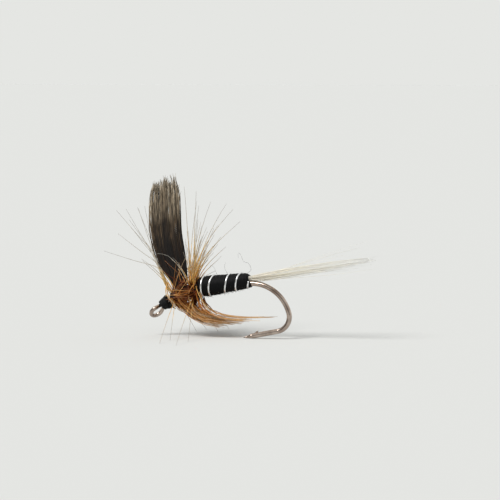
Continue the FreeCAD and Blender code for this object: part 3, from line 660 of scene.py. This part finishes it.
bm = bmesh.new()
for layer in range(2):
    start = Vector((WING_LASHING[0], 0, WING_LASHING_LIFT))
    wind_thread(bm, start, ALONG, WING_LASHING[1] - WING_LASHING[0],
                WING_LASHING_R - THREAD_R * (1 + 1.7 * layer))
finish_piece(bm, "wing_lashing_thread", thread_black, "black_thread", "wing_lashing")

bm = bmesh.new()
for layer in range(3):
    wind_thread(bm, Vector((BRACE[0] + THREAD_R, 0, 0)), ALONG, BRACE[1] - BRACE[0],
                BRACE_R - THREAD_R * (1 + 1.6 * layer), THREAD_PITCH * 0.9)
finish_piece(bm, "wing_brace_thread", thread_black, "black_thread", "wing_brace_wraps")

# ---------------------------------------------------------------------------------------------
# Hackle quills
# The stems of two ginger cock feathers, wound on edge: three turns behind the wing and nearly
# two in front of it. Every barb of the hackle grows from them.
REAR_QUILL = (-4.95, -4.27)
REAR_QUILL_COIL_R, REAR_QUILL_R, REAR_QUILL_TURNS = 0.674, 0.075, 3
FRONT_QUILL = (-6.50, -6.23)
FRONT_QUILL_COIL_R, FRONT_QUILL_R, FRONT_QUILL_TURNS = 0.37, 0.065, 1.75

quill_brown, shader = new_material("hackle_stem", 0.45)
join(colour_ramp(shader, grain(shader, on_piece(shader), 0.2),
                 [(0.3, colour(96, 46, 22)), (0.7, colour(158, 92, 46))]),
     shader.inputs["Base Color"])
bump(shader, grain(shader, on_piece(shader), 0.06), 0.01, 0.5)

for name, span, lift, coil_r, stem_r, turns in (
        ("rear", REAR_QUILL, WING_LASHING_LIFT, REAR_QUILL_COIL_R, REAR_QUILL_R, REAR_QUILL_TURNS),
        ("front", FRONT_QUILL, 0.0, FRONT_QUILL_COIL_R, FRONT_QUILL_R, FRONT_QUILL_TURNS)):
    bm = bmesh.new()
    length = span[1] - span[0]
    wind_thread(bm, Vector((span[0], 0, lift)), ALONG, length, coil_r, length / turns, stem_r)
    finish_piece(bm, name + "_hackle_stem", quill_brown, "hackle_quill", name + "_hackle_quill")

# ---------------------------------------------------------------------------------------------
# Hackle fans
# The barbs that stand up from the wound feathers: golden and close at the root, thinning to
# grey, nearly clear tips. The rear hackle leans back and the front one leans forward.
REAR_HUB = Vector((-4.61, 0, WING_LASHING_LIFT))
FRONT_HUB = Vector((-6.37, 0, 0))
REAR_HUB_R, FRONT_HUB_R = 0.76, 0.45
BARB_ROOT_R, BARB_TIP_R = 0.040, 0.011
BARB_STEPS, LONG_STEPS = 9, 16
# For each hackle: how its barbs set off, the length of a full barb, the angles in degrees by which
# they lean along the shank, standing and then crossing the thorax, and how many stand in a crowd
REAR_FAN = (Vector((0.12, 0, 1)), 7.6, (-2, 34), (-62, -25), 50)
FRONT_FAN = (Vector((-0.22, 0, 1)), 7.2, (-16, -30), (25, 62), 6)
CROSSING_BARBS, WEB_BARBS = 16, 90
# The barbs that cross the thorax end between these places along the shank
THORAX = (-6.5, -4.05)
# Tips of the barbs that stand clear of the others; the front ones lie along the wing's leading
# edge up to the height given last, and part from it there
REAR_TIPS = ((-3.54, -0.4, 9.25), (-2.85, 0.5, 8.66), (-2.5, -0.9, 7.8), (-1.85, 0.8, 7.5),
             (-0.3, 0.3, 7.1), (0.45, -0.5, 6.5), (0.4, 0.9, 5.35), (-3.1, 1.2, 7.4))
FRONT_TIPS = ((-7.75, 0.5, 8.3, 5.4), (-8.05, -0.4, 8.2, 5.0), (-8.5, 0.7, 8.3, 4.6),
              (-9.1, -0.6, 8.35, 3.9), (-9.25, 0.2, 6.7, 3.5), (-9.55, 0.9, 7.4, 3.6),
              (-10.1, -0.3, 8.4, 4.1), (-10.6, 0.3, 6.4, 2.9), (-11.9, -0.5, 5.15, 2.7))
# Place along the shank and height at which the front barbs reach the leading edge
LEADING_FOOT = (-6.98, 1.15)
# Barbs pressed flat against the near side of the wing's foot: course, where in the colour ramps
# they start, and tone
WING_FOOT_BARBS = (
    (((-4.75, -0.8, 0.8), (-5.16, -0.6, 2.14), (-5.8, -0.5, 3.2), (-6.34, -0.45, 3.75),
      (-7.2, -0.4, 4.05)), 0.5, 0.0),
    (((-6.3, -0.5, 0.7), (-5.95, -0.5, 1.9), (-5.55, -0.4, 3.05)), 0.0, 0.8),
    (((-5.4, -0.7, 0.8), (-5.5, -0.5, 1.8), (-5.35, -0.4, 2.9)), 0.0, 0.6),
    (((-4.9, -0.8, 0.8), (-5.3, -0.6, 1.9), (-5.55, -0.4, 2.4)), 0.2, 0.4))

hackle_ginger, shader = fibre_material(
    "ginger_cock_barb", 0.42,
    [(0.0, colour(255, 164, 70)), (0.12, colour(255, 202, 106)), (0.42, colour(255, 224, 156)),
     (0.6, colour(214, 204, 184)), (1.0, colour(178, 174, 166))],
    [(0.0, colour(124, 48, 16)), (0.2, colour(230, 146, 64)), (0.6, colour(252, 194, 118)),
     (1.0, colour(244, 210, 160))],
    [(0.0, colour(50, 12, 6)), (0.3, colour(88, 26, 10)), (0.7, colour(124, 50, 18)),
     (1.0, colour(168, 90, 42))],
    Specular_IOR_Level=0.4, Transmission_Weight=0.3, IOR=1.15)
barb_template, long_template = fibre_template(5, BARB_STEPS), fibre_template(5, LONG_STEPS)


def hackle_barb(fibres, chance, root, first_run, tip, tone, root_r=BARB_ROOT_R):
    """One barb that sets off from the stem in one direction and curves over to its tip."""
    length = (tip - root).length
    first = root + first_run.normalized() * length * 0.36
    second = tip - (tip - first).normalized() * length * 0.3
    second += Vector([chance.uniform(-0.16, 0.16) for _ in range(3)])
    route = bezier((root, first, second, tip), BARB_STEPS)
    lay_fibre(fibres, barb_template, route, root_r, BARB_TIP_R, tone, across=ALONG, taper=0.8)


def round_hub(hub, hub_r, angle, along=0.0):
    """Outward direction at an angle round the shank from straight up, and the stem's place there."""
    turn = math.radians(angle)
    out = Vector((0, math.sin(turn), math.cos(turn)))
    return out, hub + out * hub_r + ALONG * along


def lean_over(out, lean):
    """An outward direction tipped along the shank by an angle in degrees."""
    over = math.radians(lean)
    return out * math.cos(over) + ALONG * math.sin(over)


# The rear barbs stand straight; the front ones climb the wing's leading edge before they part
for name, hub, hub_r, tips, fan, seed in (
        ("rear", REAR_HUB, REAR_HUB_R, REAR_TIPS, REAR_FAN, 21),
        ("front", FRONT_HUB, FRONT_HUB_R, FRONT_TIPS, FRONT_FAN, 22)):
    rise, length, leans, crossing, crowd = fan
    chance = random.Random(seed)
    fibres = new_fibres()
    for x, y, z, *parts in tips:
        tip = Vector((x, y, z))
        out, root = round_hub(hub, hub_r, math.degrees(math.atan2(tip.y, tip.z)) * 2,
                              chance.uniform(-0.2, 0.2))
        if parts:
            foot = Vector((LEADING_FOOT[0], y * 0.4 - 0.1, LEADING_FOOT[1]))
            parting = Vector((edge_at(LEADING_EDGE, parts[0]) - 0.12, y * 0.6 - 0.1, parts[0]))
            points = [root - ALONG * 0.22 - out * 0.12, foot, parting, parting.lerp(tip, 0.5), tip]
            route = smooth_route(points, LONG_STEPS)
            lay_fibre(fibres, long_template, route, BARB_ROOT_R, BARB_TIP_R, chance.uniform(0.0, 0.04),
                      across=ALONG, taper=0.8, start=0.3)
        else:
            hackle_barb(fibres, chance, root, rise + (tip - root).normalized() * 0.8, tip,
                        chance.uniform(0.0, 0.06))
    for barb in range(crowd):
        out, root = round_hub(hub, hub_r, chance.gauss(0, 28), chance.uniform(-0.25, 0.25))
        way = lean_over(out, chance.uniform(*leans))
        tip = root + way * length * chance.uniform(0.25, 0.8)
        hackle_barb(fibres, chance, root, rise + way, tip, chance.uniform(0.0, 0.12), BARB_ROOT_R * 1.2)
    # Barbs that lie across the thorax and the foot of the wing, on both sides
    for barb in range(CROSSING_BARBS):
        side = (-1, 1)[barb % 2]
        out, root = round_hub(hub, hub_r, side * chance.uniform(35, 100), chance.uniform(-0.25, 0.25))
        way = lean_over(out, chance.uniform(*crossing))
        tip = root + way * chance.uniform(1.6, 4.6) + UP * chance.uniform(-0.3, 1.4)
        tip.x = min(max(tip.x, THORAX[0]), THORAX[1])
        tip.y = side * min(abs(tip.y), 2.4)
        hackle_barb(fibres, chance, root, out + way, tip, chance.choice((0.3, 0.5, 0.9, 1.0)))
    # Short web near the stem hides the lashing under it. Its barbs take the darkest red-brown tone, partly
    # the web's own colour and partly painted shade deep in the thorax
    for barb in range(WEB_BARBS):
        out, root = round_hub(hub, hub_r, chance.uniform(-180, 180), chance.uniform(-0.2, 0.3))
        way = lean_over(out, chance.uniform(*crossing) * 1.3)
        tip = root + way * chance.uniform(0.7, 1.5)
        tip.x = min(max(tip.x, THORAX[0]), THORAX[1])
        hackle_barb(fibres, chance, root, out * 0.3 + way, tip, chance.uniform(0.88, 1.0))
    if name == "rear":
        for points, start, tone in WING_FOOT_BARBS:
            route = smooth_route([Vector(point) for point in points], BARB_STEPS)
            lay_fibre(fibres, barb_template, route, BARB_ROOT_R * 0.9, BARB_TIP_R, tone, start=start)
    finish_piece(fibres[0], name + "_hackle_barbs", hackle_ginger, "hackle_barb", name + "_hackle_fan")

# ---------------------------------------------------------------------------------------------
# Hackle skirt
# The barbs under the shank have been swept back by handling: they fall from the thorax, then
# run back together above the floor as a dense ginger tuft.

# The tuft's front and rear edges, as places along the shank and up
TUFT_FRONT = ((-6.45, -0.3), (-6.05, -1.05), (-5.3, -1.9), (-4.2, -2.7), (-2.4, -3.35))
TUFT_REAR = ((-4.4, -0.5), (-3.9, -1.1), (-3.15, -2.0), (-1.1, -2.75), (1.9, -3.3))
# Where between its edges the barbs of each hackle are centred, as a share
TUFT_MIDDLE = {"front": 0.24, "rear": 0.72}
TUFT_STEPS = 25
# Barbs that drape over the near side of the thorax into the tuft: places along and up, and tone
DRAPED_BARBS = ((((-6.2, 0.45), (-5.65, -0.45), (-5.0, -1.4), (-4.0, -2.45)), 0.5),
                (((-4.15, 1.0), (-4.8, 0.2), (-4.85, -0.85), (-4.3, -1.85)), 0.35),
                (((-4.25, 0.6), (-3.9, -0.4), (-3.5, -1.4), (-2.65, -2.3)), 0.2),
                (((-5.75, 0.5), (-5.85, -0.2), (-5.45, -1.0), (-4.55, -2.05)), 0.45),
                (((-6.86, 1.15), (-6.78, 0.55), (-6.65, 0.0), (-6.4, -0.5), (-5.9, -1.1)), 0.1))


def tuft_route(chance, root, share, reach, spread):
    """A route down through the tuft, part of the way from its front edge to its rear edge."""
    end_share = min(max(share + chance.gauss(0, 0.25), -0.05), 1.05)
    drift = chance.gauss(0, spread)
    points = [root]
    for step, (a, b) in enumerate(zip(TUFT_FRONT[1:], TUFT_REAR[1:]), start=1):
        place = share + (end_share - share) * step / 4
        x = a[0] + (b[0] - a[0]) * place
        z = a[1] + (b[1] - a[1]) * place
        y = root.y * (1 - step / 5) + drift * (step / 4) ** 1.5
        points.append(Vector((x, y, z)))
    return smooth_route(points, TUFT_STEPS)[:1 + round((TUFT_STEPS - 1) * reach)]


def resampled(route, count):
    """A route thinned to fewer steps."""
    return [route[round(step * (len(route) - 1) / (count - 1))] for step in range(count)]


# The front hackle's barbs hang as one sheet, the rear one's part into two strands
for name, hub, hub_r, barbs, shares, seed in (
        ("front", FRONT_HUB, FRONT_HUB_R, 54, ((-0.02, 0.25), (0.2, 0.5)), 31),
        ("rear", REAR_HUB, REAR_HUB_R, 36, ((0.45, 0.56), (0.82, 1.0), (0.9, 1.0)), 32)):
    chance = random.Random(seed)
    fibres = new_fibres()
    for barb in range(barbs):
        share = chance.uniform(*chance.choice(shares))
        out, root = round_hub(hub, hub_r, chance.uniform(80, 280), (share - TUFT_MIDDLE[name]) * 2.2)
        reach = chance.uniform(0.6, 1.0)
        route = resampled(tuft_route(chance, root, share, reach, 0.6), BARB_STEPS)
        tone = min(max(chance.gauss(0.45, 0.22), 0.05), 1)
        lay_fibre(fibres, barb_template, route, BARB_ROOT_R, BARB_TIP_R * 1.3, tone, taper=1.4)
    if name == "rear":
        for course, tone in DRAPED_BARBS:
            for barb in range(3):
                points = [Vector((x + chance.gauss(0, 0.06), -0.8 - 0.1 * barb, z + chance.gauss(0, 0.06)))
                          for x, z in course]
                points[0].y = -0.5
                points.append(Vector((points[-1].x + 1.4, -0.5, points[-1].z - 0.55)))
                route = smooth_route(points, LONG_STEPS)
                lay_fibre(fibres, long_template, route, BARB_ROOT_R * 0.9, BARB_TIP_R,
                          tone + chance.uniform(-0.1, 0.1), start=0.2)
    finish_piece(fibres[0], name + "_hackle_tuft", hackle_ginger, "hackle_barb", name + "_hackle_skirt")

# ---------------------------------------------------------------------------------------------
# Hackle feet
# A few stiff barbs that splay out on both sides and reach the floor: the fly stands on them
# and on its hook point.
for name, hub, hub_r, seed in (("rear", REAR_HUB, REAR_HUB_R, 41), ("front", FRONT_HUB, FRONT_HUB_R, 42)):
    chance = random.Random(seed)
    fibres = new_fibres()
    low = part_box(name + "_hackle_feet")[0].z / MM
    for side in (-1, 1):
        for angle in (118, 133):
            out, root = round_hub(hub, hub_r, side * angle)
            floor_gap = (TO_FLOOR @ root).z / MM - low - BARB_TIP_R * 2
            fall = -(TO_FLOOR.to_3x3() @ out).z / MM
            tip = root + out * floor_gap / fall
            way = tip - root
            arch = UP * 0.12
            route = bezier((root, root + way * 0.33 + arch, root + way * 0.66 + arch, tip), BARB_STEPS)
            lay_fibre(fibres, barb_template, route, BARB_ROOT_R * 0.7, BARB_TIP_R,
                      chance.uniform(0.0, 0.15), across=ALONG)
    finish_piece(fibres[0], name + "_hackle_props", hackle_ginger, "hackle_barb", name + "_hackle_feet")

# ---------------------------------------------------------------------------------------------
# Hackle lashing and head
# Thread turns that tie off the hackle, then the head: layers of black thread wound over the
# neck and the roots of the eye, a little untidy, closed with a whip finish.
HACKLE_LASHING = (-6.80, -6.60)
HACKLE_LASHING_R = 0.42
HEAD = (0.10, 0.765)
HEAD_REAR_R, HEAD_FRONT_R = 0.64, 0.52
HEAD_LAYERS, HEAD_PITCH = 7, 0.058
WHIP = (0.78, 0.93)
WHIP_R, WHIP_PITCH = 0.483, 0.055
THREAD_ENDS = 5

bm = bmesh.new()
for layer in range(3):
    wind_thread(bm, Vector((HACKLE_LASHING[0] + THREAD_R, 0, 0)), ALONG,
                HACKLE_LASHING[1] - HACKLE_LASHING[0] - THREAD_R,
                HACKLE_LASHING_R - THREAD_R * (1 + 1.6 * layer))
finish_piece(bm, "hackle_lashing_thread", thread_black, "black_thread", "hackle_lashing")

bm = bmesh.new()
for layer in range(HEAD_LAYERS):
    radius = HEAD_REAR_R - THREAD_R * (1 + 1.7 * layer)
    turns = wind_thread(bm, NECK + NECK_RUN * HEAD[0], NECK_RUN, HEAD[1] - HEAD[0], radius, HEAD_PITCH,
                        lean=RING_RISE)
    for vert in turns:
        distance = (vert.co - NECK).dot(NECK_RUN)
        axis_point = NECK + NECK_RUN * distance
        share = (distance - HEAD[0]) / (HEAD[1] - HEAD[0])
        waist = 1 + (HEAD_FRONT_R / HEAD_REAR_R - 1) * share
        vert.co = axis_point + (vert.co - axis_point) * waist
        height = (vert.co - axis_point).dot(RING_RISE) / HEAD_REAR_R
        # The back of the head leans and sags, and no turn lies quite true
        slump = ALONG * (0.16 * height - 0.06) + UP * (0.08 * height - 0.2)
        vert.co += slump * (1 - share * 0.8)
        vert.co += noise.noise_vector(vert.co * 2.2 + Vector((layer, 0, 0))) * 0.07
finish_piece(bm, "head_thread", thread_black, "black_thread", "head_wraps")

bm = bmesh.new()
for layer in range(2):
    wind_thread(bm, NECK + NECK_RUN * WHIP[0], NECK_RUN, WHIP[1] - WHIP[0],
                WHIP_R - THREAD_R * (1 + 1.7 * layer), WHIP_PITCH, lean=RING_RISE)
finish_piece(bm, "whip_finish_thread", thread_black, "black_thread", "whip_finish")

chance = random.Random(51)
fibres = new_fibres()
for end in range(THREAD_ENDS):
    root = NECK + NECK_RUN * chance.uniform(0.18, 0.4) - RING_RISE * (HEAD_REAR_R * 0.85)
    root += FAR * chance.uniform(-0.2, 0.2)
    way = -RING_RISE + FAR * chance.uniform(-0.3, 0.3) + ALONG * chance.uniform(-0.1, 0.4)
    tip = root + way.normalized() * chance.uniform(0.3, 0.5)
    bent = root.lerp(tip, 0.7) + FAR * chance.uniform(-0.1, 0.1)
    route = bezier((root, root.lerp(tip, 0.4), bent, tip), WISP_STEPS)
    lay_fibre(fibres, tip_template, route, THREAD_R, THREAD_R * 0.7, 0.5, across=ALONG)
finish_piece(fibres[0], "thread_ends", thread_black, "black_thread", "thread_tag")

# ---------------------------------------------------------------------------------------------
# Floor, light and camera
# A plain pale floor that meets a plain pale background, one broad soft lamp from above and in
# front, and a room that is brighter overhead than at its sides.
BACKGROUND = colour(229, 230, 227)
FLOOR = colour(228, 229, 226)
FLOOR_SIZE = 4.0
CAMERA_AZIMUTH, CAMERA_ELEVATION = 17.0, 4.0
CAMERA_DISTANCE = 0.2388
CAMERA_TARGET = Vector((0.53, 0, 7.63)) * MM
LAMP_FROM = Vector((-0.38, -0.75, 1))
LAMP_SPREAD = 32

floor_material, shader = new_material("pale_floor", 0.9, Base_Color=FLOOR, Specular_IOR_Level=0.0)
bm = bmesh.new()
bmesh.ops.create_grid(bm, x_segments=8, y_segments=8, size=FLOOR_SIZE / 2)
floor_mesh = bpy.data.meshes.new("floor")
bm.to_mesh(floor_mesh)
bm.free()
floor_mesh.materials.append(floor_material)
floor = bpy.data.objects.new("floor", floor_mesh)
bpy.context.scene.collection.objects.link(floor)

world = bpy.data.worlds.new("soft_room")
world.use_nodes = True
bpy.context.scene.world = world
nodes = world.node_tree.nodes
room = nodes["Background"]
room.inputs["Color"].default_value = (1, 1, 1, 1)
direction = add_node(room, "ShaderNodeTexCoord").outputs["Generated"]
overhead = add_node(room, "ShaderNodeSeparateXYZ", {"Vector": direction}).outputs["Z"]
join(ranged(room, overhead, 0.0, 0.9, 0.13, 0.46), room.inputs["Strength"])

# The background is seen plainly and through the barbs; metal shows it too, falling off towards
# the dark side of the room in front
rays = add_node(room, "ShaderNodeLightPath").outputs
plainly = add_node(room, "ShaderNodeMath", {0: rays["Is Camera Ray"], 1: rays["Is Transmission Ray"]},
                   operation="MAXIMUM").outputs[0]
shown = add_node(room, "ShaderNodeMath", {0: plainly, 1: rays["Is Glossy Ray"]},
                 operation="MAXIMUM").outputs[0]
behind = add_node(room, "ShaderNodeVectorMath", {0: direction, 1: Vector((0.35, 0.6, 0.72))},
                  operation="DOT_PRODUCT").outputs["Value"]
sweep = ranged(room, behind, -0.75, 0.55, 0.12, 1.25)
strength = add_node(room, "ShaderNodeMix", {"Factor": plainly, "A": sweep, "B": 1.0}).outputs["Result"]
backdrop = add_node(room, "ShaderNodeBackground", {"Color": BACKGROUND, "Strength": strength})
chosen = add_node(room, "ShaderNodeMixShader", {0: shown, 1: room.outputs[0], 2: backdrop.outputs[0]})
join(chosen.outputs[0], nodes["World Output"].inputs["Surface"])

lamp_data = bpy.data.lights.new("soft_key", "SUN")
lamp_data.energy = 2.6
lamp_data.angle = math.radians(LAMP_SPREAD)
lamp = bpy.data.objects.new("soft_key", lamp_data)
lamp.rotation_mode = "QUATERNION"
lamp.rotation_quaternion = LAMP_FROM.to_track_quat("Z", "Y")
bpy.context.scene.collection.objects.link(lamp)

scene = bpy.context.scene
scene.view_settings.view_transform = "Standard"
azimuth, elevation = math.radians(CAMERA_AZIMUTH), math.radians(CAMERA_ELEVATION)
back = Vector((math.sin(azimuth) * math.cos(elevation), -math.cos(azimuth) * math.cos(elevation),
               math.sin(elevation)))
camera_data = bpy.data.cameras.new("camera")
camera_data.lens, camera_data.sensor_width = 200, 36
camera_data.clip_start, camera_data.clip_end = 0.001, 20
camera = bpy.data.objects.new("camera", camera_data)
camera.rotation_mode = "QUATERNION"
camera.rotation_quaternion = back.to_track_quat("Z", "Y")
camera.location = CAMERA_TARGET + back * CAMERA_DISTANCE
scene.collection.objects.link(camera)
scene.camera = camera
